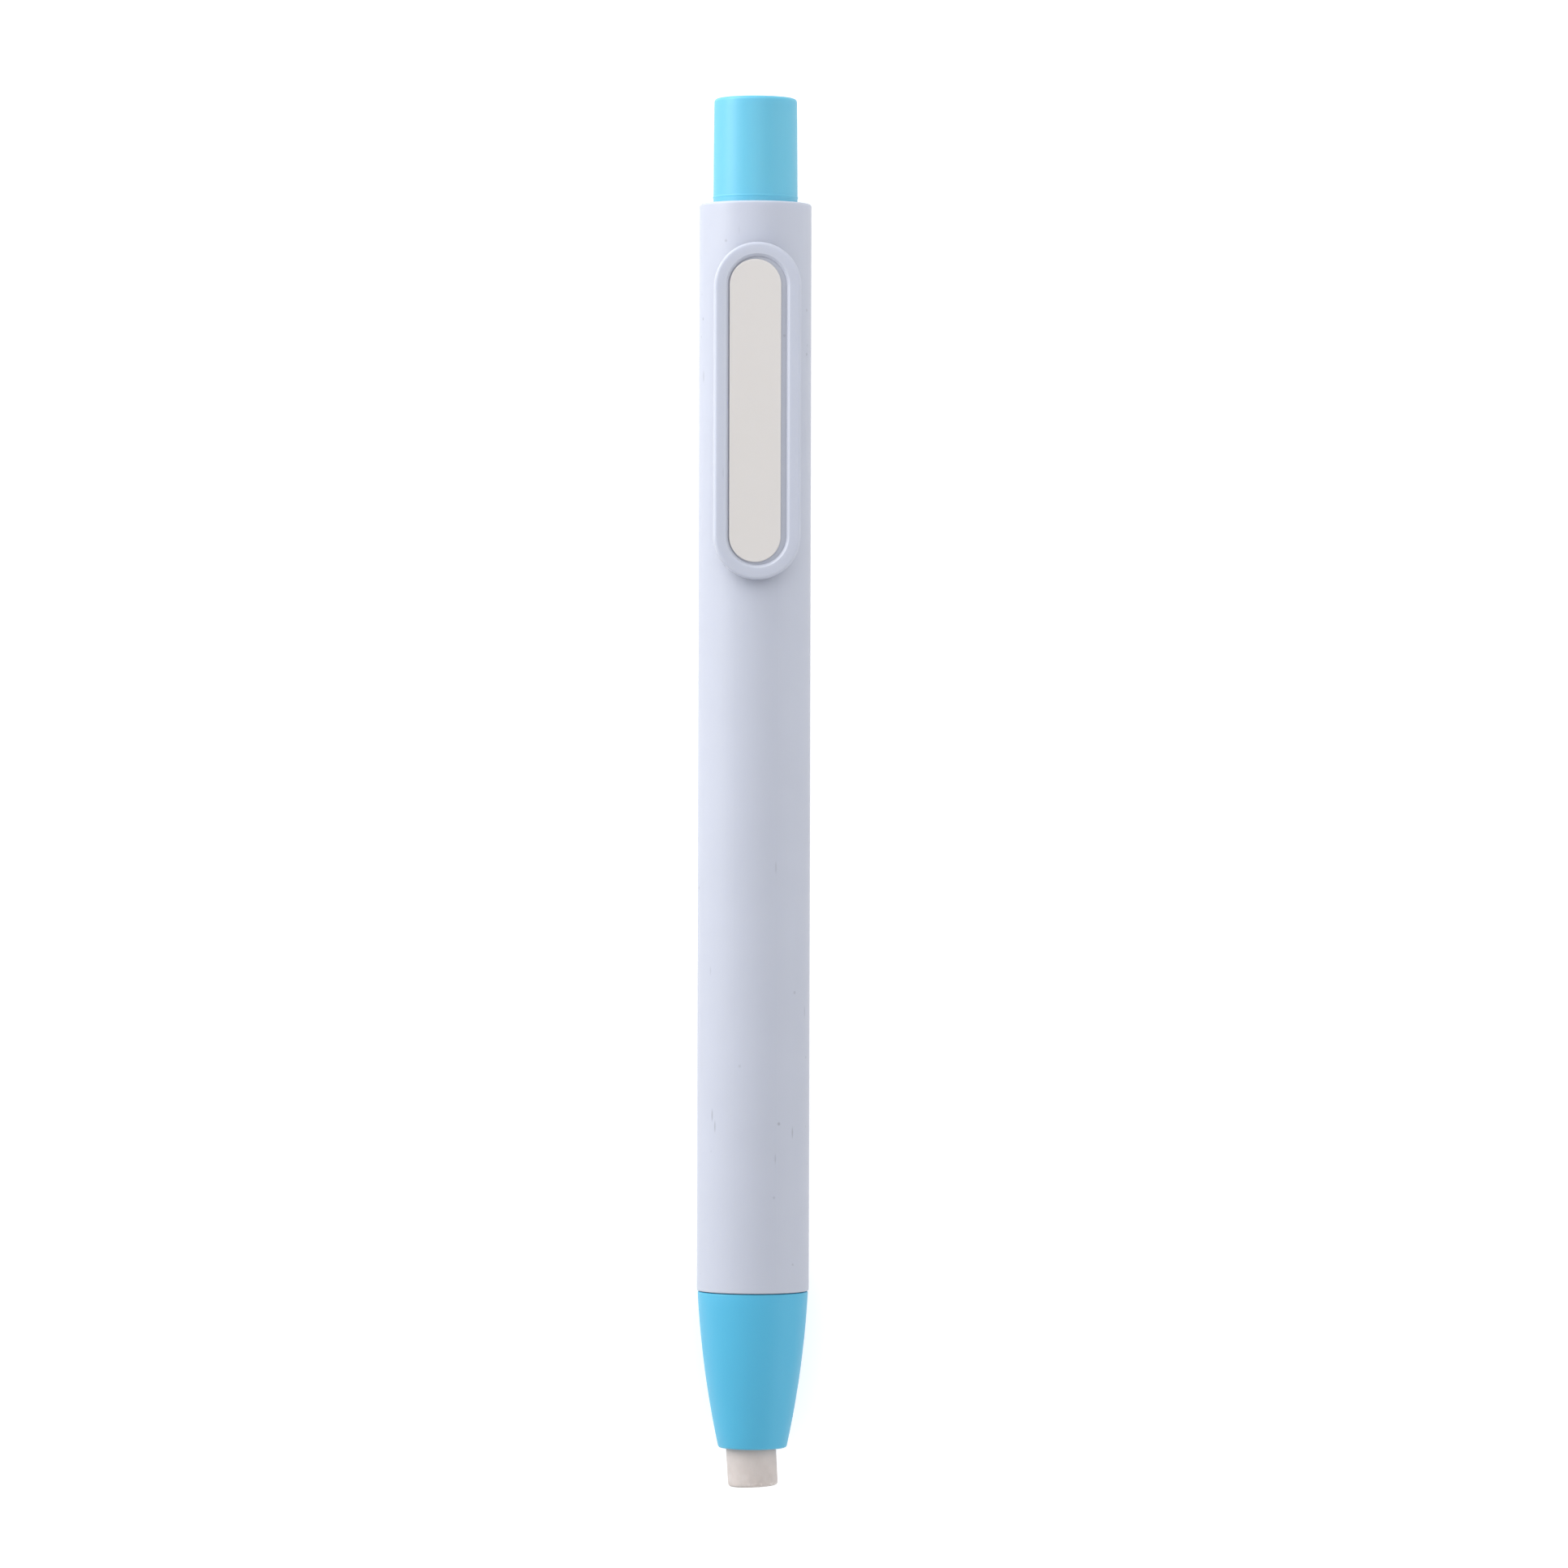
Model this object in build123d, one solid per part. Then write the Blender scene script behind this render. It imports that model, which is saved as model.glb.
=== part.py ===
from build123d import *

import math
import os

# A push-button eraser pen, lying on its side. All sizes are in millimetres and degrees.
# Each piece is drawn round its own upright axis: height 0 is the eraser's tip, +Z runs up to
# the button, and +X is the clip's side. lay_down() turns the finished piece onto its side.

# lengths along the pen, from the tip up
eraser_reach = 3.7
nose_length = 14.7
barrel_length = 101.7
button_reach = 9.9

# clearances
push_fit = 0.02
running_fit = 0.05
stop_gap = 0.05
seam_gap = 0.08
overrun = 1.0

# eraser stick
eraser_radius = 2.35
eraser_length = 88.0
eraser_edge = 0.4

# barrel
barrel_wall = 0.8
barrel_edge = 0.22
joint_edge = 0.12
lip_depth = 2.6
lip_overhang = 0.41
lip_lead = 0.25

# push button
button_draft = 0.06
button_edge = 0.35
button_cap_thickness = 1.4
button_travel = 4.0
lip_clearance = 0.1
collar_length = 1.0
collar_clearance = 0.1
socket_depth = 7.6

# eraser tube, pushed into the button
tube_wall = 0.5
tube_clearance = 0.45
flange_length = 1.5
flange_clearance = 0.1

# collet: a sleeve in the tube's end, with four fingers that grip the eraser
collet_clearance = 0.1
finger_length = 14.0
finger_wall = 0.4
finger_count = 4
slit_width = 0.5
head_step = 0.5
head_reach = 1.5
head_land = 1.2
head_edge = 0.25
head_cone_slope = 0.1
tooth_pitch = 0.8
tooth_count = 4
pivot_gap = 0.05
collet_collar_length = 1.4
collet_collar_step = 0.25
tail_grip = 6.0

# clutch ring, and the housing that it runs in
ring_length = 3.4
ring_wall = 0.63
ring_travel = 1.0
ring_fit = 0.03
ring_edge = 0.15
housing_wall = 0.4
housing_web = 2.0
web_clearance = 0.25

# return spring
wire_radius = 0.25
wire_sides = 6
spring_length = 21.0
spring_turns = 8
spring_clearance = 0.45
end_turn_share = 0.55

# nose cone
nose_step = 0.07
nose_tip_wall = 0.6
nose_bulge = 0.3
nose_edge = 0.2
nose_shoulder_edge = 0.12
spigot_length = 6.1
spigot_wall = 0.65
spigot_edge = 0.2
guide_length = 6.0
guide_clearance = 0.25
guide_mouth = 0.25
jaw_room = 0.6

# clip
clip_length = 31.3
clip_width = 8.07
clip_drop = 4.0
clip_gap = 0.6
clip_thickness = 1.4
clip_edge = 0.3
clip_hollow_radius = 9.0
clip_band = 1.335
pocket_depth = 0.4
pocket_lip = 0.26
root_drop = 7.1
root_length = 4.6
root_width = 3.8
root_clearance = 0.1
pad_overhang = 0.6
pad_gap = 0.2
foot_overhang = 0.6
foot_gap = 0.25
foot_thickness = 0.6
nub_radius = 1.2
nub_width = 3.0
nub_inset = 2.6
nub_gap = 0.08

# plate in the clip's pocket
plate_end_gap = 0.25
plate_side_gap = 0.3
plate_thickness = 0.32
plate_edge = 0.12
plate_shift = 0.22

# heights of the joints that the eye sees
nose_end = eraser_reach
joint_height = nose_end + nose_length
mouth_height = joint_height + barrel_length
top_height = mouth_height + button_reach

# heights inside, from the nose up
spigot_top = joint_height + spigot_length
ring_bottom = spigot_top + stop_gap + ring_travel
ring_top = ring_bottom + ring_length
web_bottom = ring_top + stop_gap
web_top = web_bottom + housing_web
flange_bottom = web_top + spring_length
flange_top = flange_bottom + flange_length
head_front = ring_bottom - head_reach
cone_start = head_front + head_land
finger_root = head_front + finger_length
sleeve_bottom = finger_root + pivot_gap

# heights inside, from the mouth down
lip_bottom = mouth_height - lip_depth
collar_top = lip_bottom - stop_gap
collar_bottom = collar_top - collar_length
tube_top = collar_bottom + socket_depth

# radii, from the eraser outward: each piece is made to fit round the one inside it
grip_radius = eraser_radius + push_fit
collet_bore_radius = eraser_radius + collet_clearance
finger_radius = collet_bore_radius + finger_wall
head_radius = finger_radius + head_step
ring_radius = head_radius + ring_wall
chamber_radius = ring_radius + running_fit
housing_radius = chamber_radius + housing_wall
bore_radius = housing_radius + push_fit
barrel_radius = bore_radius + barrel_wall

# radii that follow from these
web_hole_radius = finger_radius + web_clearance
spring_radius = finger_radius + spring_clearance + wire_radius
tube_bore_radius = eraser_radius + tube_clearance
tail_radius = tube_bore_radius - push_fit
tube_radius = tube_bore_radius + tube_wall
socket_radius = tube_radius + push_fit
flange_radius = bore_radius - flange_clearance
collar_radius = bore_radius - collar_clearance
lip_radius = bore_radius - lip_overhang
button_radius = lip_radius - lip_clearance
button_top_radius = button_radius - button_draft
spigot_radius = bore_radius - running_fit
cavity_radius = spigot_radius - spigot_wall
guide_radius = eraser_radius + guide_clearance
nose_tip_radius = guide_radius + nose_tip_wall
nose_radius = barrel_radius - nose_step

# where the clip lies, along the pen and off the axis
clip_top = mouth_height - clip_drop
clip_middle = clip_top - clip_length / 2
clip_root_height = clip_top - root_drop
clip_under = barrel_radius + clip_gap
clip_face = clip_under + clip_thickness
pocket_floor = clip_face - pocket_depth
pocket_length = clip_length - 2 * clip_band
pocket_width = clip_width - 2 * clip_band
plate_length = pocket_length - 2 * plate_end_gap
plate_width = pocket_width - 2 * plate_side_gap


def outline(*points):
    """A flat face in the upright plane, from (radius, height) points."""
    return make_face(Polyline(*points, close=True))


def corner(face, radius, height):
    """The corner of a flat face that lies nearest to a radius and a height."""
    return face.vertices().sort_by_distance((radius, height))[0]


def turned(face):
    """A piece turned on a lathe: the face, drawn in the upright plane, swept right round."""
    return revolve(Plane.XZ * face, axis=Axis.Z)


def block(width, length, low, high, height):
    """An upright block on the clip's side, from one distance off the axis to another."""
    middle = ((low + high) / 2, 0, height)
    return Pos(*middle) * Box(high - low, width, length)


def rod(radius):
    """A round bar on the pen's axis, longer than the pen."""
    return Pos(0, 0, top_height / 2) * Cylinder(radius, top_height)


def cone_radius(height):
    """Outer radius of the fingers' cone, which narrows upward from the head."""
    return head_radius - head_cone_slope * (height - cone_start)


def make_barrel():
    """Open tube with a lip at the mouth and a window for the clip's root."""
    face = outline(
        (bore_radius, joint_height),
        (barrel_radius, joint_height),
        (barrel_radius, mouth_height),
        (lip_radius, mouth_height),
        (lip_radius, lip_bottom),
        (bore_radius, lip_bottom),
    )
    face = fillet(corner(face, barrel_radius, mouth_height), barrel_edge)
    face = chamfer(corner(face, barrel_radius, joint_height), joint_edge)
    face = chamfer(corner(face, lip_radius, mouth_height), lip_lead)
    window_width = root_width + 2 * root_clearance
    window_length = root_length + 2 * root_clearance
    window = block(window_width, window_length, 0, barrel_radius + overrun, clip_root_height)
    return turned(face) - window


def make_nose_cone():
    """Hollow tapered nose: a spigot for the barrel, room for the fingers, and a guide bore."""
    shoulder = joint_height - seam_gap
    guide_top = nose_end + guide_length
    cavity_bottom = head_front - button_travel - jaw_room
    taper = SagittaArc((nose_tip_radius, nose_end), (nose_radius, shoulder), -nose_bulge)
    rest = Polyline(
        (nose_radius, shoulder),
        (spigot_radius, shoulder),
        (spigot_radius, spigot_top),
        (cavity_radius, spigot_top),
        (cavity_radius, cavity_bottom),
        (guide_radius, guide_top),
        (guide_radius, nose_end),
        (nose_tip_radius, nose_end),
    )
    face = make_face(taper + rest)
    face = chamfer(corner(face, nose_tip_radius, nose_end), nose_edge)
    face = chamfer(corner(face, nose_radius, shoulder), nose_shoulder_edge)
    face = chamfer(corner(face, spigot_radius, spigot_top), spigot_edge)
    face = chamfer(corner(face, guide_radius, nose_end), guide_mouth)
    return turned(face)


def make_push_button():
    """Hollow button with a little draft, a rounded top and a collar under the barrel's lip."""
    well_radius = tube_bore_radius
    well_top = top_height - button_cap_thickness
    face = outline(
        (0, top_height),
        (0, well_top),
        (well_radius, well_top),
        (well_radius, tube_top),
        (socket_radius, tube_top),
        (socket_radius, collar_bottom),
        (collar_radius, collar_bottom),
        (collar_radius, collar_top),
        (button_radius, collar_top),
        (button_radius, mouth_height),
        (button_top_radius, top_height),
    )
    face = fillet(corner(face, button_top_radius, top_height), button_edge)
    return turned(face)


def make_eraser_tube():
    """Tube round the eraser stick, with a flange for the spring at its lower end."""
    return turned(
        outline(
            (tube_bore_radius, flange_bottom),
            (flange_radius, flange_bottom),
            (flange_radius, flange_top),
            (tube_radius, flange_top),
            (tube_radius, tube_top - stop_gap),
            (tube_bore_radius, tube_top - stop_gap),
        )
    )


def make_eraser_stick():
    """Round stick, cut off square at the back and rounded at the tip."""
    stick = Pos(0, 0, eraser_length / 2) * Cylinder(eraser_radius, eraser_length)
    rims = stick.edges().filter_by(GeomType.CIRCLE).sort_by(Axis.Z)
    return fillet(rims[0], eraser_edge)


def make_collet_body():
    """Sleeve above the fingers: a collar at their roots and a tail up in the tube's end."""
    step_radius = finger_radius + collet_collar_step
    collar_end = sleeve_bottom + collet_collar_length
    return turned(
        outline(
            (collet_bore_radius, sleeve_bottom),
            (step_radius, sleeve_bottom),
            (step_radius, collar_end),
            (tail_radius, collar_end),
            (tail_radius, flange_bottom + tail_grip),
            (collet_bore_radius, flange_bottom + tail_grip),
        )
    )


def make_fingers():
    """The gripping fingers, in turn round the axis: a slit tube with a cone and inner teeth."""
    teeth_start = head_front + head_edge
    teeth = []
    for tooth in range(tooth_count):
        low = teeth_start + tooth * tooth_pitch
        teeth.append((collet_bore_radius, low))
        teeth.append((grip_radius, low))
    teeth_end = teeth_start + tooth_count * tooth_pitch
    face = outline(
        (collet_bore_radius + head_edge, head_front),
        *teeth,
        (collet_bore_radius, teeth_end),
        (collet_bore_radius, finger_root),
        (finger_radius, finger_root),
        (finger_radius, ring_top),
        (cone_radius(ring_top), ring_top),
        (head_radius, cone_start),
        (head_radius, head_front),
    )
    face = chamfer(corner(face, head_radius, head_front), head_edge)
    tube = turned(face)
    middle = (head_front + finger_root) / 2
    for slit in range(finger_count // 2):
        turn = slit * 2 * 180 / finger_count
        cut = Box(head_radius * 2 + overrun, slit_width, finger_length + overrun)
        tube -= Pos(0, 0, middle) * Rot(0, 0, turn) * cut

    def bearing(finger):
        place = finger.center()
        return math.atan2(place.Y, place.X) % math.tau

    return sorted(tube.solids(), key=bearing)


def make_clutch_ring():
    """Ring whose bore has the same cone as the fingers that it closes."""
    face = outline(
        (cone_radius(ring_bottom) + ring_fit, ring_bottom),
        (ring_radius, ring_bottom),
        (ring_radius, ring_top),
        (cone_radius(ring_top) + ring_fit, ring_top),
    )
    rims = [corner(face, ring_radius, ring_bottom), corner(face, ring_radius, ring_top)]
    return turned(chamfer(rims, ring_edge))


def make_clutch_housing():
    """Bush in the barrel: a skirt round the ring, and a web that carries the spring."""
    return turned(
        outline(
            (chamber_radius, spigot_top + stop_gap),
            (housing_radius, spigot_top + stop_gap),
            (housing_radius, web_top),
            (web_hole_radius, web_top),
            (web_hole_radius, web_bottom),
            (chamber_radius, web_bottom),
        )
    )


def spring_place(turns):
    """Centre of the wire after a number of turns; the turns lie closer near both ends."""
    rise = spring_length - 2 * wire_radius
    share = turns / spring_turns
    eased = share - end_turn_share * math.sin(math.tau * share) / math.tau
    angle = math.tau * turns
    return Vector(
        spring_radius * math.cos(angle),
        spring_radius * math.sin(angle),
        web_top + wire_radius + rise * eased,
    )


def spring_heading(turns):
    """Direction of the wire after a number of turns."""
    rise = spring_length - 2 * wire_radius
    share = turns / spring_turns
    climb = rise / spring_turns * (1 - end_turn_share * math.cos(math.tau * share))
    angle = math.tau * turns
    around = math.tau * spring_radius
    return Vector(-around * math.sin(angle), around * math.cos(angle), climb).normalized()


def half_turn(turns):
    """Two arcs, smooth at their meeting point, that carry the wire on by half a turn."""
    start, end = spring_place(turns), spring_place(turns + 1 / 2)
    leaving, arriving = spring_heading(turns), spring_heading(turns + 1 / 2)
    chord = end - start
    both = leaving + arriving
    bend = 2 * (1 - leaving.dot(arriving))
    along = chord.dot(both)
    reach = (math.sqrt(along**2 + bend * chord.dot(chord)) - along) / bend
    meeting = (start + end) / 2 + (leaving - arriving) * (reach / 2)
    heading = (chord - both * reach).normalized()
    return [
        TangentArc(start, meeting, tangent=leaving),
        TangentArc(meeting, end, tangent=heading),
    ]


def make_return_spring():
    """One unbroken wire, swept along its half turns."""
    path = Wire([arc for k in range(2 * spring_turns) for arc in half_turn(k / 2)])
    start = Plane(spring_place(0), z_dir=spring_heading(0))
    section = start * RegularPolygon(wire_radius, wire_sides)
    return sweep(section, path=path)


def least_spring_gap():
    """Least gap from one turn of the wire to the next, measured on points."""
    points_per_turn = 36
    count = spring_turns * points_per_turn + 1
    places = [spring_place(k / points_per_turn) for k in range(count)]
    nearest = min(
        (places[i] - places[j]).length
        for i in range(count)
        for j in range(i + points_per_turn // 2, min(i + 2 * points_per_turn, count))
    )
    return nearest - 2 * wire_radius


def stadium(length, width, low, high, shift=0):
    """A block with round ends on the clip's side, long in the pen's own direction."""
    face = Plane(origin=(low, shift, clip_middle), x_dir=(0, 0, 1), z_dir=(1, 0, 0))
    return extrude(face * SlotOverall(length, width), high - low)


def make_clip():
    """Moulded clip: an arm with a pocket, a hollow back, a root through the barrel and a nub."""
    arm = stadium(clip_length, clip_width, 0, clip_face)
    rim = arm.faces().sort_by(Axis.X)[-1].edges()
    arm = fillet(rim, clip_edge)
    arm -= stadium(pocket_length, pocket_width, pocket_floor, clip_face + overrun)
    mouth = arm.faces().filter_by(Axis.X).sort_by(Axis.X)[-1].inner_wires()[0].edges()
    arm = chamfer(mouth, pocket_lip)
    arm -= Pos(clip_under - clip_hollow_radius, 0, clip_middle) * Cylinder(
        clip_hollow_radius, clip_length + overrun
    )
    inside_arm = (clip_under + pocket_floor) / 2

    pad = block(
        root_width + 2 * pad_overhang,
        root_length + 2 * pad_overhang,
        0,
        inside_arm,
        clip_root_height,
    ) - rod(barrel_radius + pad_gap)

    foot_outer = bore_radius - foot_gap
    foot_inner = foot_outer - foot_thickness
    foot_length = root_length + 2 * foot_overhang
    root = block(root_width, root_length, 0, inside_arm, clip_root_height)
    foot = rod(foot_outer) & block(root_width, foot_length, 0, foot_outer, clip_root_height)

    nub_height = clip_top - clip_length + nub_inset
    nub = Pos(barrel_radius + nub_gap + nub_radius, 0, nub_height) * Rot(90, 0, 0) * Cylinder(
        nub_radius, nub_width
    )
    nub -= block(nub_width + overrun, 4 * nub_radius, inside_arm, clip_face + nub_radius, nub_height)
    return arm + pad + nub + (root + foot - rod(foot_inner))


def make_clip_plate():
    """Thin plate on the floor of the clip's pocket, a little to one side of its middle."""
    top = pocket_floor + plate_thickness
    plate = stadium(plate_length, plate_width, pocket_floor, top, -plate_shift)
    rim = plate.faces().sort_by(Axis.X)[-1].edges()
    return chamfer(rim, plate_edge)


def lay_down(piece):
    """Turns an upright piece onto its side: button at -X, clip's face up, base at zero."""
    return Pos(top_height / 2, 0, barrel_radius) * Rot(0, -90, 0) * piece


pieces = {
    "barrel": make_barrel(),
    "clip": make_clip(),
    "clip_plate": make_clip_plate(),
    "push_button": make_push_button(),
    "nose_cone": make_nose_cone(),
    "eraser_stick": make_eraser_stick(),
    "eraser_tube": make_eraser_tube(),
    "collet_body": make_collet_body(),
    "clutch_ring": make_clutch_ring(),
    "clutch_housing": make_clutch_housing(),
    "return_spring": make_return_spring(),
}
for number, finger in enumerate(make_fingers(), start=1):
    pieces[f"collet_jaw_{number}"] = finger

os.makedirs("parts", exist_ok=True)
for name, piece in pieces.items():
    export_step(lay_down(piece), f"parts/{name}.step")

print("spring's least gap to itself, mm:", round(least_spring_gap(), 2))
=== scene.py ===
import math

import bmesh
import bpy
from mathutils import Matrix, Vector, noise


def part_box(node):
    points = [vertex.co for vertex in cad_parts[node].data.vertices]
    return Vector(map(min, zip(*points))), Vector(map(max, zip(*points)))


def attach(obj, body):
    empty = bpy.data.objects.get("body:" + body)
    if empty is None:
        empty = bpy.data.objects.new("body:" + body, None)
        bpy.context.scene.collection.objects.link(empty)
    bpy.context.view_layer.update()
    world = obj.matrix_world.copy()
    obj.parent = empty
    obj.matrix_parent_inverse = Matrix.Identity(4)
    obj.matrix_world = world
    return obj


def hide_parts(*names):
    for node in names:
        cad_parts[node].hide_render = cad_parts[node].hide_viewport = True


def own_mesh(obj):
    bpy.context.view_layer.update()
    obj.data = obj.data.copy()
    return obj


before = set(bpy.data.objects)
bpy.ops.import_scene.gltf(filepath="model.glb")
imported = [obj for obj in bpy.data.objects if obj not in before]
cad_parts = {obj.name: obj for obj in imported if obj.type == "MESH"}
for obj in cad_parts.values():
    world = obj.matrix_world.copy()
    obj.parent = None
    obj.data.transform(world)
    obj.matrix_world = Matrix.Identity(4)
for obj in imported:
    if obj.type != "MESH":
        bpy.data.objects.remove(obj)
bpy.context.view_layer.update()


# Barrel
# A straight tube of satin lavender plastic, moulded round a core pin. Its mouth is drawn in to a
# lip that keeps the button, and a window near the mouth takes the clip's root.
mm = 0.001
mouth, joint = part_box("barrel")[0].x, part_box("barrel")[1].x
barrel_radius = (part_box("barrel")[1].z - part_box("barrel")[0].z) / 2
axis_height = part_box("barrel")[0].z + barrel_radius
barrel_wall = 0.8 * mm
barrel_edge = 0.22 * mm
joint_edge = 0.12 * mm
lip_radius = 4.04 * mm
lip_depth = 2.6 * mm
lip_lead = 0.2 * mm
bore_radius = barrel_radius - barrel_wall
turned_steps = 128
rounding_steps = 5
merge_distance = 0.002 * mm
sliver_length = 0.001 * mm
window_middle = -44 * mm
window_half_length = 2.4 * mm
window_half_width = 2.0 * mm
cloud_size = 9 * mm
worn_patch_size = 17 * mm
speck_spacing = (2.4 * mm, 2.4 * mm, 2.4 * mm)
speck_spread = (0.035, 0.085)
scuff_spacing = (9.0 * mm, 1.6 * mm, 1.6 * mm)
scuff_spread = (0.03, 0.08)
scuff_turn = 0.6
rubbed_size = 2.5 * mm
roughness_range = 0.06
grain_size = 0.16 * mm
grain_depth = 0.02 * mm
light_depth = 0.7 * mm
lavender = (0.54, 0.57, 0.665, 1)


class Wire:
    """A node's output in a material. +, - and * add Math nodes, and node() adds any other."""

    def __init__(self, tree, socket):
        self.tree = tree
        self.socket = socket

    def node(self, kind, settings, inputs, output=0):
        made = self.tree.nodes.new(kind)
        for name, value in settings.items():
            setattr(made, name, value)
        for name, value in inputs.items():
            if isinstance(value, Wire):
                self.tree.links.new(value.socket, made.inputs[name])
            else:
                made.inputs[name].default_value = value
        return Wire(self.tree, made.outputs[output]) if made.outputs else None

    def arithmetic(self, operation, first, second):
        return self.node("ShaderNodeMath", {"operation": operation}, {0: first, 1: second})

    def __add__(self, other):
        return self.arithmetic("ADD", self, other)

    def __rsub__(self, other):
        return self.arithmetic("SUBTRACT", other, self)

    def __mul__(self, other):
        return self.arithmetic("MULTIPLY", self, other)

    def ramp(self, low, high):
        """0 below the low value, 1 above the high one."""
        return self.node("ShaderNodeMapRange", {}, {"Value": self, "From Min": low, "From Max": high})

    def noise(self, grain, detail=2.0):
        """Noise from 0 to 1 on this vector, with spots of about the grain's size."""
        values = {"Vector": self, "Scale": 1 / grain, "Detail": detail}
        return self.node("ShaderNodeTexNoise", {}, values)

    def blend(self, plain, marked):
        """The plain colour where this is 0, the marked one where it is 1."""
        sockets = {0: self, 6: plain, 7: marked}
        return self.node("ShaderNodeMix", {"data_type": "RGBA"}, sockets, output=2)

    def bump(self, strength, depth):
        """A normal for a surface that has this as its height."""
        values = {"Strength": strength, "Distance": depth, "Height": self}
        return self.node("ShaderNodeBump", {}, values)

    def surface(self, values):
        """Ends the material in one Principled shader with these values."""
        shader = self.node("ShaderNodeBsdfPrincipled", {}, values)
        self.node("ShaderNodeOutputMaterial", {}, {"Surface": shader})


def new_material(name):
    """A material with no nodes yet, and its Object coordinates to start from."""
    material = bpy.data.materials.new(name)
    material.use_nodes = True
    tree = material.node_tree
    tree.nodes.clear()
    places = tree.nodes.new("ShaderNodeTexCoord")
    return material, Wire(tree, places.outputs["Object"])


def moulded(name, colour, roughness, specks=0.0, shade=0.93):
    """Moulded plastic: a fine satin grain, slight clouds in the colour, rubbed spots and specks."""
    material, place = new_material(name)
    clouds = place.noise(cloud_size, 3.0).ramp(0.35, 0.65)
    darker = tuple(channel * shade for channel in colour[:3]) + (1,)
    tone = (clouds * 0.35).blend(colour, darker)
    if specks:
        grey = tuple(channel * (1 - specks) for channel in colour[:3]) + (1,)
        worn = place.noise(worn_patch_size).ramp(0.49, 0.56)
        specks_and_scuffs = (
            (speck_spacing, 0.0, speck_spread),
            (scuff_spacing, scuff_turn, scuff_spread),
        )
        for spacing, turn, spread in specks_and_scuffs:
            scale = tuple(1 / size for size in spacing)
            mapping = {"Vector": place, "Rotation": (0, 0, turn), "Scale": scale}
            cells = place.node("ShaderNodeMapping", {}, mapping)
            near = cells.node(
                "ShaderNodeTexVoronoi", {}, {"Vector": cells, "Scale": 1.0}, output="Distance"
            )
            tone = ((1 - near.ramp(*spread)) * worn).blend(tone, grey)
    rubbed = place.noise(rubbed_size, 4.0).ramp(0.4, 0.7)
    values = {
        "Base Color": tone,
        "Roughness": rubbed * roughness_range + (roughness - roughness_range / 2),
        "Normal": place.noise(grain_size, 2.0).bump(0.1, grain_depth),
        "IOR": 1.57,
        "Subsurface Weight": 0.4,
        "Subsurface Radius": (1.0, 1.05, 1.2),
        "Subsurface Scale": light_depth,
    }
    place.surface(values)
    return material


def turned(corners, closed=True):
    """A profile of (place along the pen, radius, rounding) corners, spun round the axis."""
    mesh = bmesh.new()
    points = [mesh.verts.new((along, 0, axis_height + radius)) for along, radius, _ in corners]
    ends = points[1:] + points[:1] if closed else points[1:]
    for start, end in zip(points, ends):
        mesh.edges.new((start, end))
    for point, (_, _, rounding) in zip(points, corners):
        if rounding:
            bmesh.ops.bevel(
                mesh, geom=[point], offset=rounding, offset_type="OFFSET", affect="VERTICES",
                segments=rounding_steps, profile=0.5, material=-1,
            )
    bmesh.ops.spin(
        mesh, geom=mesh.verts[:] + mesh.edges[:], cent=(0, 0, axis_height), axis=(1, 0, 0),
        angle=math.tau, steps=turned_steps, use_merge=True,
    )
    bmesh.ops.remove_doubles(mesh, verts=mesh.verts, dist=merge_distance)
    bmesh.ops.dissolve_degenerate(mesh, edges=mesh.edges, dist=sliver_length)
    return mesh


def as_piece(name, mesh, material, sharp=35):
    """Closes a mesh into an object with outward faces and even shading."""
    bmesh.ops.recalc_face_normals(mesh, faces=mesh.faces)
    for face in mesh.faces:
        face.smooth = True
    data = bpy.data.meshes.new(name)
    mesh.to_mesh(data)
    mesh.free()
    data.set_sharp_from_angle(angle=math.radians(sharp))
    data.materials.append(material)
    piece = bpy.data.objects.new(name, data)
    bpy.context.scene.collection.objects.link(piece)
    piece.modifiers.new("even_shading", "WEIGHTED_NORMAL").keep_sharp = True
    return piece


def split_at(mesh, faces, place, normal):
    """Cuts the given faces by a plane and returns them with the new ones."""
    edges = {edge for face in faces for edge in face.edges}
    verts = {vert for face in faces for vert in face.verts}
    made = bmesh.ops.bisect_plane(
        mesh, geom=list(faces) + list(edges) + list(verts), plane_co=place, plane_no=normal
    )
    return [item for item in made["geom"] if isinstance(item, bmesh.types.BMFace)]


tube = turned(
    [
        (mouth, lip_radius, lip_lead),
        (mouth, barrel_radius, barrel_edge),
        (joint, barrel_radius, joint_edge),
        (joint, bore_radius, 0),
        (mouth + lip_depth, bore_radius, 0),
        (mouth + lip_depth, lip_radius, 0),
    ]
)
window_corners = [
    ((window_middle - window_half_length, 0, 0), (1, 0, 0)),
    ((window_middle + window_half_length, 0, 0), (1, 0, 0)),
    ((0, -window_half_width, 0), (0, 1, 0)),
    ((0, window_half_width, 0), (0, 1, 0)),
]
wall = [face for face in tube.faces if face.calc_center_median().z > axis_height + barrel_radius / 2]
for corner, normal in window_corners:
    wall = split_at(tube, wall, corner, normal)
inside = [
    face
    for face in wall
    if abs(face.calc_center_median().x - window_middle) < window_half_length
    and abs(face.calc_center_median().y) < window_half_width
]
bmesh.ops.delete(tube, geom=inside, context="FACES")
rims = [edge for edge in tube.edges if edge.is_boundary]
bmesh.ops.bridge_loops(tube, edges=rims)
barrel_plastic = moulded("lavender_plastic", lavender, 0.48, specks=0.27)
barrel = as_piece("barrel_tube", tube, barrel_plastic)
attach(barrel, "barrel")
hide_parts("barrel")


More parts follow.
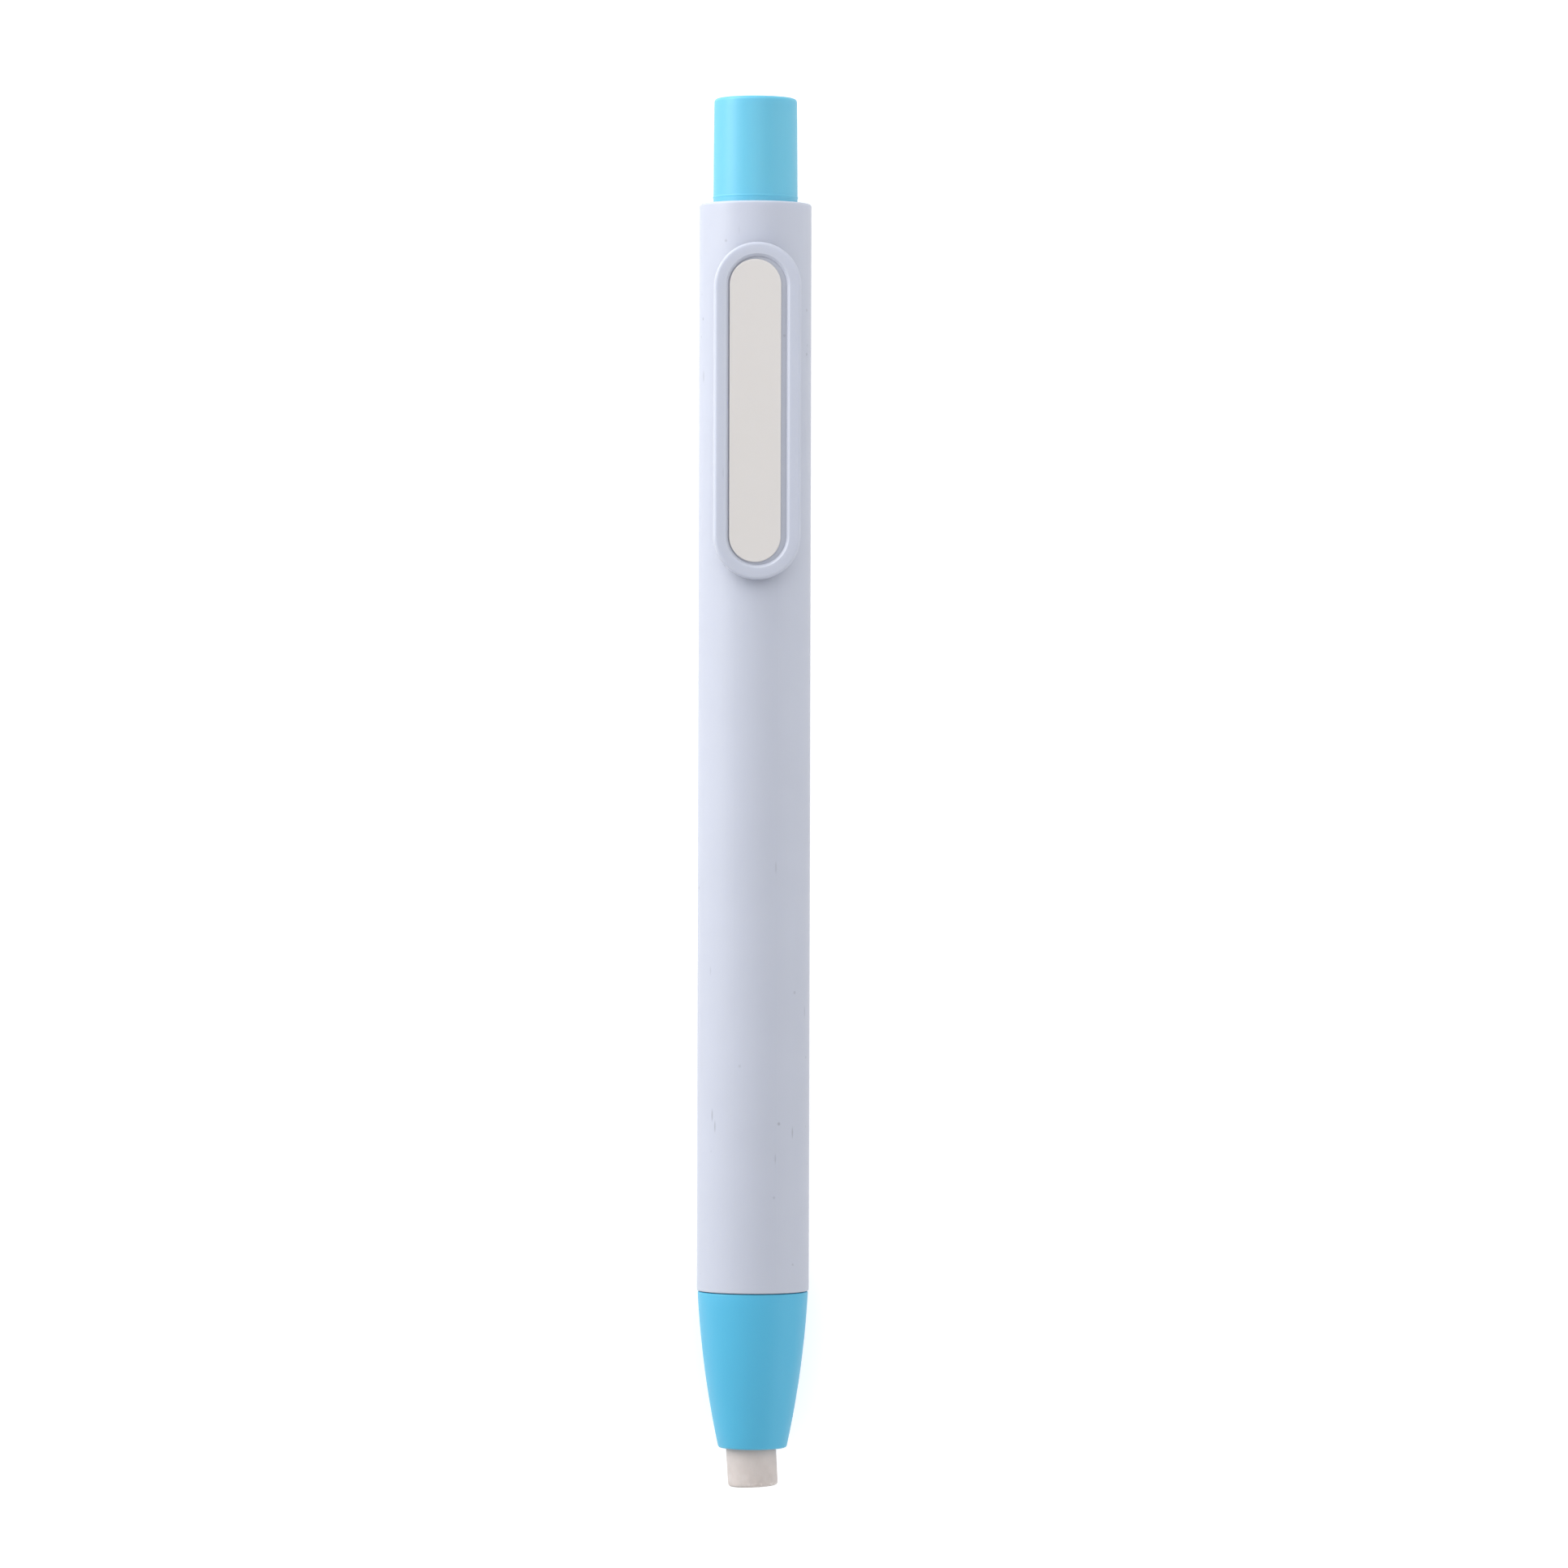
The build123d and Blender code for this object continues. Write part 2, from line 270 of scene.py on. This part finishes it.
# Push button
# A hollow thimble moulded in satin light blue plastic, drafted a little towards its rounded top,
# with a low bead round its foot. Its collar runs in the barrel and stops under the lip, and the
# eraser tube is pushed into its socket.
button_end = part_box("push_button")[0].x
button_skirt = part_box("push_button")[1].x
button_radius = 3.94 * mm
button_top_radius = 3.88 * mm
button_edge = 0.35 * mm
bead_place = 0.62 * mm
bead_half_length = 0.16 * mm
bead_height = 0.055 * mm
button_collar_radius = 4.35 * mm
button_collar_length = 1.0 * mm
button_cap = 1.4 * mm
button_socket_radius = 3.32 * mm
button_socket_depth = 7.6 * mm
button_well_radius = 2.8 * mm
light_blue = (0.125, 0.515, 0.707, 1)

thimble = turned(
    [
        (button_end, 0, 0),
        (button_end, button_top_radius, button_edge),
        (mouth - bead_place - bead_half_length, button_radius, 0),
        (mouth - bead_place, button_radius + bead_height, 0),
        (mouth - bead_place + bead_half_length, button_radius, 0),
        (button_skirt - button_collar_length, button_radius, 0),
        (button_skirt - button_collar_length, button_collar_radius, 0),
        (button_skirt, button_collar_radius, 0),
        (button_skirt, button_socket_radius, 0),
        (button_skirt - button_socket_depth, button_socket_radius, 0),
        (button_skirt - button_socket_depth, button_well_radius, 0),
        (button_end + button_cap, button_well_radius, 0),
        (button_end + button_cap, 0, 0),
    ],
    closed=False,
)
button_plastic = moulded("light_blue_plastic", light_blue, 0.46, shade=0.97)
button = as_piece("button_thimble", thimble, button_plastic)
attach(button, "plunger")
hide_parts("push_button")


# Nose cone
# Moulded in a slightly deeper blue than the button, in a faintly bulged taper that ends at the
# eraser's guide bore. Its thin spigot screws into the barrel, so a fine thread runs round it.
nose_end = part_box("nose_cone")[1].x
spigot_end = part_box("nose_cone")[0].x
nose_radius = (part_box("nose_cone")[1].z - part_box("nose_cone")[0].z) / 2
nose_tip_radius = 3.2 * mm
nose_bulge = 0.3 * mm
nose_edge = 0.2 * mm
nose_shoulder_edge = 0.12 * mm
seam_gap = 0.08 * mm
taper_steps = 10
guide_radius = 2.6 * mm
guide_length = 6.0 * mm
guide_mouth = 0.2 * mm
spigot_radius = 4.4 * mm
spigot_bore_radius = 3.75 * mm
spigot_edge = 0.1 * mm
cavity_end = 45.55 * mm
thread_root_radius = 4.24 * mm
thread_pitch = 0.8 * mm
thread_turns = 5
thread_start = 1.4 * mm
thread_sunk = 0.08 * mm
ridge_half_share = 0.4
steps_per_turn = 64
sky_blue = (0.072, 0.468, 0.712, 1)

shoulder = joint + seam_gap
taper = []
for step in range(1, taper_steps):
    share = step / taper_steps
    straight = nose_radius + (nose_tip_radius - nose_radius) * share
    bulge = 4 * nose_bulge * share * (1 - share)
    taper.append((shoulder + (nose_end - shoulder) * share, straight + bulge, 0))
cone = turned(
    [
        (shoulder, nose_radius, nose_shoulder_edge),
        *taper,
        (nose_end, nose_tip_radius, nose_edge),
        (nose_end, guide_radius, guide_mouth),
        (nose_end - guide_length, guide_radius, 0),
        (cavity_end, spigot_bore_radius, 0),
        (spigot_end, spigot_bore_radius, 0),
        (spigot_end, thread_root_radius, spigot_edge),
        (shoulder - thread_start, thread_root_radius, 0),
        (shoulder - thread_start, spigot_radius, 0),
        (shoulder, spigot_radius, 0),
    ]
)
thread = bmesh.new()
thread_end = shoulder - thread_start - thread_pitch / 2
ridge_half_width = thread_pitch * ridge_half_share
ridge_foot = axis_height + thread_root_radius - thread_sunk
ridge = [
    thread.verts.new((thread_end + ridge_half_width, 0, ridge_foot)),
    thread.verts.new((thread_end, 0, axis_height + spigot_radius)),
    thread.verts.new((thread_end - ridge_half_width, 0, ridge_foot)),
]
ridge_face = thread.faces.new(ridge)
bmesh.ops.spin(
    thread, geom=[ridge_face], cent=(0, 0, axis_height), axis=(1, 0, 0),
    dvec=(-thread_pitch / steps_per_turn, 0, 0), angle=math.tau * thread_turns,
    steps=steps_per_turn * thread_turns,
)
thread_mesh = bpy.data.meshes.new("nose_thread")
thread.to_mesh(thread_mesh)
thread.free()
cone.from_mesh(thread_mesh)
bpy.data.meshes.remove(thread_mesh)
nose_plastic = moulded("sky_blue_plastic", sky_blue, 0.46, shade=0.97)
nose = as_piece("nose_taper", cone, nose_plastic)
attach(nose, "nose")
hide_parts("nose_cone")


# Clip
# One moulding with the barrel's plastic: a stadium-shaped arm with a soft rim, a pocket for the
# plate and a hollow back that hugs the barrel. A root goes through the barrel's window, and a
# nub at the free end presses on the pocket's cloth.
clip_low, clip_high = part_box("clip")
clip_middle = (clip_low.x + clip_high.x) / 2
clip_half_width = clip_high.y
clip_straight = (clip_high.x - clip_low.x) / 2 - clip_half_width
clip_edge = 0.3 * mm
clip_band = 1.335 * mm
pocket_lip = 0.26 * mm
pocket_depth = 0.4 * mm
pocket_draft = 0.01 * mm
clip_thickness = 1.4 * mm
clip_hollow_radius = 9.0 * mm
back_strips = 24
end_steps = 48
pad_half_length = 2.9 * mm
pad_half_width = 2.5 * mm
pad_radius = 5.45 * mm
root_half_length = 2.3 * mm
root_half_width = 1.9 * mm
foot_top_radius = 4.2 * mm
foot_bottom_radius = 3.6 * mm
foot_overhang = 0.6 * mm
nub_radius = 1.2 * mm
nub_half_width = 1.5 * mm
nub_inset = 2.6 * mm
nub_gap = 0.08 * mm
nub_strips = 10
nub_strip_share = 0.98
clip_edge_steps = 6
facing_cosine = 0.9


def verts_of(items):
    """The vertices among what a bmesh operator returns."""
    return [item for item in items if isinstance(item, bmesh.types.BMVert)]


def stadium(middle, shift, half_width, straight, height):
    """A flat face with round ends: two half turns of one point, joined."""
    mesh = bmesh.new()
    start = mesh.verts.new((middle + straight, shift - half_width, height))
    for side in (1, -1):
        arc = bmesh.ops.spin(
            mesh, geom=[start], cent=(middle + side * straight, shift, height), axis=(0, 0, 1),
            angle=math.pi, steps=end_steps,
        )
        last = verts_of(arc["geom_last"])[0]
        if side == 1:
            start = mesh.verts.new(last.co - Vector((2 * straight, 0, 0)))
            mesh.edges.new((last, start))
    bmesh.ops.contextual_create(mesh, geom=[v for v in mesh.verts if len(v.link_edges) == 1])
    bmesh.ops.contextual_create(mesh, geom=mesh.edges[:])
    return mesh


def across(faces, middle, half_length, half_width):
    """Of the faces, those whose middles lie in a rectangle on the pen's centre line."""
    centres = [(face, face.calc_center_median()) for face in faces]
    return [
        face
        for face, centre in centres
        if abs(centre.x - middle) < half_length and abs(centre.y) < half_width
    ]


def drawn_down(mesh, faces, radius):
    """Extrudes faces down to a round wall about the pen's axis, and returns the new faces."""
    made = bmesh.ops.extrude_face_region(mesh, geom=faces)["geom"]
    for vert in verts_of(made):
        vert.co.z = axis_height + math.sqrt(radius**2 - vert.co.y**2)
    bmesh.ops.delete(mesh, geom=[face for face in faces if face.is_valid], context="FACES")
    return [item for item in made if isinstance(item, bmesh.types.BMFace)]


clip_face = clip_high.z
clip_back = clip_face - clip_thickness
arm = stadium(clip_middle, 0, clip_half_width, clip_straight, clip_face)
top = arm.faces[:][0]
made = bmesh.ops.extrude_face_region(arm, geom=[top])["geom"]
bmesh.ops.translate(arm, verts=verts_of(made), vec=(0, 0, -clip_thickness))
back_limit = clip_face - clip_thickness / 2
back = [face for face in arm.faces if len(face.verts) > 4 and face.calc_center_median().z < back_limit]
lines = [clip_half_width * (2 * strip / back_strips - 1) for strip in range(1, back_strips)]
for line in lines + [-pad_half_width, pad_half_width, -root_half_width, root_half_width]:
    back = split_at(arm, back, (0, line, 0), (0, 1, 0))
for line in (-pad_half_length, pad_half_length, -root_half_length, root_half_length):
    back = split_at(arm, back, (window_middle + line, 0, 0), (1, 0, 0))
nub_middle = clip_high.x - nub_inset
nub_height = axis_height + barrel_radius + nub_gap + nub_radius
nub_half_length = math.sqrt(nub_radius**2 - (nub_height - clip_back) ** 2) * nub_strip_share
for strip in range(nub_strips + 1):
    line = nub_middle + nub_half_length * (2 * strip / nub_strips - 1)
    back = split_at(arm, back, (line, 0, 0), (1, 0, 0))
for line in (-nub_half_width, nub_half_width):
    back = split_at(arm, back, (0, line, 0), (0, 1, 0))
back_verts = {vert for face in back for vert in face.verts}
for vert in back_verts:
    vert.co.z = clip_back - clip_hollow_radius + math.sqrt(clip_hollow_radius**2 - vert.co.y**2)
pad = drawn_down(arm, across(back, window_middle, pad_half_length, pad_half_width), pad_radius)
root = drawn_down(arm, across(pad, window_middle, root_half_length, root_half_width), foot_top_radius)
drawn_down(arm, root, foot_bottom_radius)
for side in (1, -1):
    heels = [
        face
        for face in arm.faces
        if face.normal.x * side > facing_cosine
        and face.calc_center_median().z < axis_height + foot_top_radius
    ]
    made = bmesh.ops.extrude_face_region(arm, geom=heels)["geom"]
    bmesh.ops.translate(arm, verts=verts_of(made), vec=(side * foot_overhang, 0, 0))
    bmesh.ops.delete(arm, geom=[face for face in heels if face.is_valid], context="FACES")
nub_faces = across([face for face in back if face.is_valid], nub_middle, nub_half_length, nub_half_width)
made = bmesh.ops.extrude_face_region(arm, geom=nub_faces)["geom"]
for vert in verts_of(made):
    vert.co.z = nub_height - math.sqrt(nub_radius**2 - (vert.co.x - nub_middle) ** 2)
bmesh.ops.delete(arm, geom=[face for face in nub_faces if face.is_valid], context="FACES")
rim = [edge for edge in arm.edges if min(vert.co.z for vert in edge.verts) > clip_face - pocket_draft]
bmesh.ops.bevel(
    arm, geom=rim, offset=clip_edge, offset_type="OFFSET", affect="EDGES",
    segments=clip_edge_steps, profile=0.5, material=-1,
)
top = max(arm.faces, key=lambda face: face.calc_area())
for thickness, depth in (
    (clip_band - clip_edge - pocket_lip, 0),
    (pocket_lip, -pocket_lip),
    (pocket_draft, pocket_lip - pocket_depth),
):
    bmesh.ops.inset_individual(arm, faces=[top], thickness=thickness, depth=depth, use_even_offset=True)
clip = as_piece("clip_arm", arm, barrel_plastic)
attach(clip, "clip")
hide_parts("clip")


# Clip plate
# A thin off-white plate let into the clip's pocket, a little to one side of its middle. It is
# punched from sheet, so its upper edge is slightly rounded, and it is bare.
plate_low, plate_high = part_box("clip_plate")
plate_half_width = (plate_high.y - plate_low.y) / 2
plate_straight = (plate_high.x - plate_low.x) / 2 - plate_half_width
plate_shift = (plate_high.y + plate_low.y) / 2
plate_edge = 0.1 * mm
plate_edge_steps = 3
off_white = (0.70, 0.675, 0.665, 1)

slab = stadium(clip_middle, plate_shift, plate_half_width, plate_straight, plate_high.z)
made = bmesh.ops.extrude_face_region(slab, geom=slab.faces[:])["geom"]
bmesh.ops.translate(slab, verts=verts_of(made), vec=(0, 0, plate_low.z - plate_high.z))
rim = [edge for edge in slab.edges if min(vert.co.z for vert in edge.verts) > plate_high.z - plate_edge]
bmesh.ops.bevel(
    slab, geom=rim, offset=plate_edge, offset_type="OFFSET", affect="EDGES",
    segments=plate_edge_steps, profile=0.5, material=-1,
)
plate_white = moulded("off_white_plate", off_white, 0.5, shade=0.985)
plate = as_piece("clip_inlay", slab, plate_white)
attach(plate, "clip")
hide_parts("clip_plate")


# Eraser stick
# A long round stick of off-white vinyl. It leans a little in the nose's bore. Its tip is rubbed
# round and worn lower on one side, with pale crumbs along the rim; their pale colour is partly
# a painted highlight on the rim.
stick_end, stick_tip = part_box("eraser_stick")[0].x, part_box("eraser_stick")[1].x
stick_radius = (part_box("eraser_stick")[1].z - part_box("eraser_stick")[0].z) / 2
stick_edge = 0.3 * mm
lean_length = 14.0 * mm
lean_rings = 40
lean_back = -0.7 * mm
lean_start_share = 0.8
lean_out = 0.05 * mm
rim_length = 0.26 * mm
rim_depth = 0.32 * mm
rim_rings = 10
dome_height = 0.02 * mm
dome_rings = 12
worn_slant = 0.17 * mm
worn_share = 0.73
dent_depth = 0.035 * mm
crumb_height = 0.07 * mm
crumb_size = 0.34 * mm
fine_crumb_ratio = 2.7
fine_crumb_share = 0.3
rim_reach_share = 1.5
dent_size = 1.3 * mm
smudged_length = 3 * mm
smudge_size = 0.8 * mm
vinyl_cloud_size = 1.6 * mm
crumb_and_highlight_band_start = 0.6 * mm
crumb_and_highlight_band_full = 0.4 * mm
crumb_and_highlight_patch_size = 0.3 * mm
crumb_and_highlight_side_start = -2.5 * mm
crumb_and_highlight_side_full = 1 * mm
fine_pit_size = 0.16 * mm
wide_pit_size = 0.5 * mm
pit_depth = 0.03 * mm
vinyl_light_depth = 0.5 * mm
vinyl = (0.66, 0.60, 0.575, 1)
grey_vinyl = (0.45, 0.40, 0.38, 1)
# The pale crumbs' colour, which also paints a highlight on the tip's rim.
crumbs_and_painted_highlight_vinyl = (0.76, 0.71, 0.68, 1)

corners = [(stick_end, 0, 0), (stick_end, stick_radius, stick_edge)]
rim_start = stick_tip - dome_height - rim_length
for ring in range(lean_rings):
    corners.append((rim_start - lean_length * (1 - ring / lean_rings), stick_radius, 0))
for ring in range(rim_rings):
    angle = math.pi / 2 * ring / rim_rings
    rounded = rim_depth * (1 - math.cos(angle))
    corners.append((rim_start + rim_length * math.sin(angle), stick_radius - rounded, 0))
for ring in range(dome_rings + 1):
    share = 1 - ring / dome_rings
    corners.append((stick_tip - dome_height * share**2, (stick_radius - rim_depth) * share, 0))
stick = turned(corners, closed=False)
for vert in stick.verts:
    reach = (vert.co.x - (rim_start - lean_length)) / lean_length
    if reach <= 0:
        continue
    off_axis = Vector((0, vert.co.y, vert.co.z - axis_height))
    outward = off_axis.normalized()
    to_right = off_axis.y / stick_radius
    near_tip = max((min(reach, 1) - worn_share) / (1 - worn_share), 0)
    at_rim = max(1 - abs(vert.co.x - rim_start - rim_length / 2) / (rim_reach_share * rim_length), 0)
    dents = 0.5 + 0.5 * noise.noise(vert.co / dent_size)
    fine_crumbs = fine_crumb_share * noise.noise(vert.co * fine_crumb_ratio / crumb_size)
    crumbs = max(noise.noise(vert.co / crumb_size) + fine_crumbs, 0)
    vert.co -= outward * (dent_depth * near_tip * dents + (crumb_height - dent_depth) * at_rim)
    vert.co += outward * (crumb_height * at_rim * crumbs)
    vert.co.x -= worn_slant * near_tip**2 * (0.5 + 0.5 * to_right)
    eased = min(reach / lean_start_share, 1)
    lean = lean_back + (lean_out - lean_back) * min(reach, 1)
    vert.co.y += lean * eased**2 * (3 - 2 * eased)

eraser_vinyl, place = new_material("eraser_vinyl")
along = place.node("ShaderNodeSeparateXYZ", {}, {"Vector": place}, output="X")
sideways = place.node("ShaderNodeSeparateXYZ", {}, {"Vector": place}, output="Y")
smudged = along.ramp(stick_tip - smudged_length, stick_tip) * place.noise(smudge_size, 5.0).ramp(0.4, 0.7)
clouds = place.noise(vinyl_cloud_size, 4.0).ramp(0.3, 0.75)
tone = (smudged * 0.3 + clouds * 0.12).blend(vinyl, grey_vinyl)
# Paler along the tip's rim on one side: pale crumbs of rubbed vinyl, and partly a painted highlight.
crumb_and_highlight_band = along.ramp(stick_tip - crumb_and_highlight_band_start, stick_tip - crumb_and_highlight_band_full)
crumbs_and_painted_highlight = crumb_and_highlight_band * place.noise(crumb_and_highlight_patch_size, 3.0).ramp(0.45, 0.6)
tone = (crumbs_and_painted_highlight * sideways.ramp(crumb_and_highlight_side_start, crumb_and_highlight_side_full)).blend(tone, crumbs_and_painted_highlight_vinyl)
pitted = place.noise(fine_pit_size, 5.0) + place.noise(wide_pit_size, 2.0)
values = {
    "Base Color": tone,
    "Roughness": clouds * 0.1 + 0.68,
    "Normal": pitted.bump(0.3, pit_depth),
    "IOR": 1.48,
    "Subsurface Weight": 0.3,
    "Subsurface Radius": (1.2, 1.0, 0.9),
    "Subsurface Scale": vinyl_light_depth,
}
place.surface(values)
eraser = as_piece("eraser_worn", stick, eraser_vinyl, sharp=60)
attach(eraser, "eraser")
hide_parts("eraser_stick")


# Return spring
# Hard-drawn steel wire wound in eight turns, closer towards its ends. It rides with the eraser
# tube's flange. In the pen it shortens against the bush as the button goes in, but here it keeps
# its length.
spring_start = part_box("return_spring")[0].x
spring_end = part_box("return_spring")[1].x
wire_radius = 0.25 * mm
wire_sides = 12
spring_turns = 8
end_turn_share = 0.55
coil_radius = (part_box("return_spring")[1].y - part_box("return_spring")[0].y) / 2 - wire_radius
spring_steps = 36
drawn_mark_size = 0.5 * mm
bright_steel = (0.56, 0.56, 0.57, 1)
grey_steel = (0.42, 0.42, 0.43, 1)

wire = bmesh.new()
bmesh.ops.create_circle(wire, segments=wire_sides, radius=wire_radius, cap_ends=False)
bmesh.ops.rotate(wire, verts=wire.verts, matrix=Matrix.Rotation(math.pi / 2, 3, "X"))
bmesh.ops.translate(wire, verts=wire.verts, vec=(spring_end - wire_radius, 0, axis_height + coil_radius))
wire_rise = spring_end - spring_start - 2 * wire_radius
loop = wire.edges[:]
for step in range(spring_turns * spring_steps):
    before, after = (count / (spring_turns * spring_steps) for count in (step, step + 1))
    eased = [
        share - end_turn_share * math.sin(math.tau * share) / math.tau for share in (before, after)
    ]
    made = bmesh.ops.extrude_edge_only(wire, edges=loop)["geom"]
    verts = verts_of(made)
    loop = [item for item in made if isinstance(item, bmesh.types.BMEdge)]
    bmesh.ops.rotate(
        wire, verts=verts, cent=(0, 0, axis_height),
        matrix=Matrix.Rotation(math.tau / spring_steps, 3, "X"),
    )
    bmesh.ops.translate(wire, verts=verts, vec=(-wire_rise * (eased[1] - eased[0]), 0, 0))
bmesh.ops.holes_fill(wire, edges=[edge for edge in wire.edges if edge.is_boundary])

spring_steel, place = new_material("spring_steel")
drawn = place.noise(drawn_mark_size, 5.0)
values = {
    "Base Color": drawn.ramp(0.3, 0.7).blend(bright_steel, grey_steel),
    "Metallic": 1.0,
    "Roughness": drawn * 0.15 + 0.22,
}
place.surface(values)
spring = as_piece("spring_coil", wire, spring_steel, sharp=50)
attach(spring, "plunger")
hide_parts("return_spring")
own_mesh(spring)


# Clutch and tube
# The inner works, in natural white plastic: the tube round the stick, the collet with its four
# fingers, and the bush that the ring runs in. They are moulded plain and stay out of sight.
natural_white = (0.74, 0.735, 0.71, 1)
inner_plastic = moulded("natural_plastic", natural_white, 0.38, shade=0.95)
jaws = [f"collet_jaw_{number}" for number in range(1, 5)]
for name in ["eraser_tube", "collet_body", "clutch_housing", *jaws]:
    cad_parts[name].data.materials[0] = inner_plastic


# Clutch ring
# A small ring turned from brass. Its bore closes the collet's fingers on the stick, and fine
# marks of the lathe run round it.
brass = (0.76, 0.56, 0.27, 1)
dull_brass = (0.55, 0.38, 0.17, 1)
dull_patch_size = 1.5 * mm
mark_width = 0.05
mark_stretch = (1 / mm, 0.02 / mm, 0.02 / mm)
mark_depth = 0.01 * mm
ring_brass, place = new_material("turned_brass")
around = place.node("ShaderNodeMapping", {}, {"Vector": place, "Scale": mark_stretch})
lathe_marks = around.noise(mark_width, 3.0)
values = {
    "Base Color": place.noise(dull_patch_size, 4.0).ramp(0.45, 0.8).blend(brass, dull_brass),
    "Metallic": 1.0,
    "Roughness": lathe_marks * 0.25 + 0.15,
    "Normal": lathe_marks.bump(0.3, mark_depth),
}
place.surface(values)
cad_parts["clutch_ring"].data.materials[0] = ring_brass


# Floor
# A wide white sheet under the pen. Straight views see it as clean white, and the pen's own soft
# shadow stays on it.
floor_half = 1.5
floor_glow = 0.5
sheet_white = (0.8, 0.8, 0.8, 1)
glow_white = (1, 1, 1, 1)


def seen_straight(place):
    """1 on rays from the camera, a mirror or glass, and 0 on those that light other things."""
    kinds = ("Is Camera Ray", "Is Glossy Ray", "Is Transmission Ray")
    seen, mirrored, through = [place.node("ShaderNodeLightPath", {}, {}, output=kind) for kind in kinds]
    return seen + mirrored + through


sheet = bmesh.new()
bmesh.ops.create_grid(sheet, x_segments=1, y_segments=1, size=floor_half)
floor_mesh = bpy.data.meshes.new("floor")
sheet.to_mesh(floor_mesh)
sheet.free()
white_sheet, place = new_material("white_sheet")
values = {
    "Base Color": sheet_white,
    "Roughness": 0.9,
    "Emission Color": glow_white,
    "Emission Strength": seen_straight(place) * floor_glow,
}
place.surface(values)
floor_mesh.materials.append(white_sheet)
floor = bpy.data.objects.new("floor", floor_mesh)
bpy.context.scene.collection.objects.link(floor)


# Lights
# Two long soft boxes at the pen's sides, the brighter one on the clip's left and towards the
# button. Two weak ones hang over the pen and past its button, in a white room that fills the
# shadows.
room_light = 0.64
world = bpy.data.worlds.new("white_room")
bpy.context.scene.world = world
world.use_nodes = True
world.node_tree.nodes.clear()
air = Wire(world.node_tree, None)
strength = seen_straight(air) * (1 - room_light) + room_light
backdrop = air.node("ShaderNodeBackground", {}, {"Color": glow_white, "Strength": strength})
air.node("ShaderNodeOutputWorld", {}, {"Surface": backdrop})


def soft_box(name, place, target, length, width, watts):
    """A rectangular area light at a place, turned to a target, long in the pen's direction."""
    lamp = bpy.data.lights.new(name, "AREA")
    lamp.shape = "RECTANGLE"
    lamp.size = width
    lamp.size_y = length
    lamp.energy = watts
    back = (Vector(place) - Vector(target)).normalized()
    along = Vector((-1, 0, 0))
    right = along.cross(back).normalized()
    up = back.cross(right)
    box = bpy.data.objects.new(name, lamp)
    box.matrix_world = Matrix.Translation(place) @ Matrix((right, up, back)).transposed().to_4x4()
    bpy.context.scene.collection.objects.link(box)


soft_box("left_box", (-0.36, -0.38, 0.13), (-0.26, 0, 0.12), length=0.6, width=0.26, watts=2.54)
soft_box("right_box", (-0.06, 0.42, 0.2), (-0.06, 0, 0.17), length=0.8, width=0.38, watts=0.563)
soft_box("top_box", (-0.2, 0, 0.34), (-0.12, 0, 0), length=0.22, width=0.22, watts=0.216)
soft_box("end_box", (-0.5, 0, 0.12), (-0.06, 0, 0), length=0.2, width=0.3, watts=0.1)


# Camera
# It looks straight down on the clip's side from far off, with the button up in the picture, the
# pen a little left of the middle and leaning right by a hair.
camera_distance = 675 * mm
camera_tilt = math.radians(2.2)
camera_roll = math.radians(0.145)
picture_middle = Vector((-0.83 * mm, 2.81 * mm, axis_height))
lens = 165.4
sensor = 36

back = Vector((0, -math.sin(camera_tilt), math.cos(camera_tilt)))
upward = Vector((-1, 0, 0))
rightward = upward.cross(back)
up = upward * math.cos(camera_roll) - rightward * math.sin(camera_roll)
right = up.cross(back)
eye = bpy.data.cameras.new("camera")
eye.lens = lens
eye.sensor_width = sensor
camera = bpy.data.objects.new("camera", eye)
turn = Matrix((right, up, back)).transposed().to_4x4()
camera.matrix_world = Matrix.Translation(picture_middle + back * camera_distance) @ turn
bpy.context.scene.collection.objects.link(camera)
bpy.context.scene.camera = camera
bpy.context.scene.view_settings.view_transform = "Standard"
